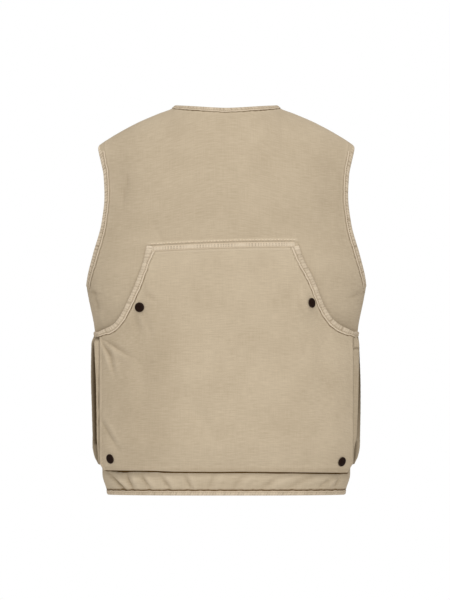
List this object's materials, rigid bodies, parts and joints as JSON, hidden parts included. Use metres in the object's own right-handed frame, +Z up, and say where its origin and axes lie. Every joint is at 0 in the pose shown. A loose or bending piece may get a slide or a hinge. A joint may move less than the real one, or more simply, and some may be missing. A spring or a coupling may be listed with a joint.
{
  "type": "work vest",
  "caption": "Sleeveless washed canvas work vest with bound neck, armholes and hem, and a wide bellows pocket with slanted hand openings across the back.",
  "frame": {"origin": "midway between the two neck points, where the vest hangs on the shoulders", "axes": "+Z up, -Y out of the wearer's back, +X towards the wearer's right"},
  "size_m": [0.4612, 0.2805, 0.6423],
  "materials": {
    "canvas": "washed sand canvas, matt",
    "tape": "worn sand tape, matt",
    "stud": "dark brown satin"
  },
  "bodies": {
    "root": {"back_panel": "canvas", "front_left": "canvas", "front_right": "canvas", "front_placket": "canvas", "pocket_panel": "canvas", "pocket_gusset_left": "canvas", "pocket_gusset_right": "canvas", "neck_binding": "tape", "armhole_binding_left": "tape", "armhole_binding_right": "tape", "hem_binding": "tape", "pocket_binding_left": "tape", "pocket_binding_right": "tape", "pocket_band": "tape", "snap_upper_left": "stud", "snap_upper_right": "stud", "snap_lower_left": "stud", "snap_lower_right": "stud"}
  },
  "joints": []
}
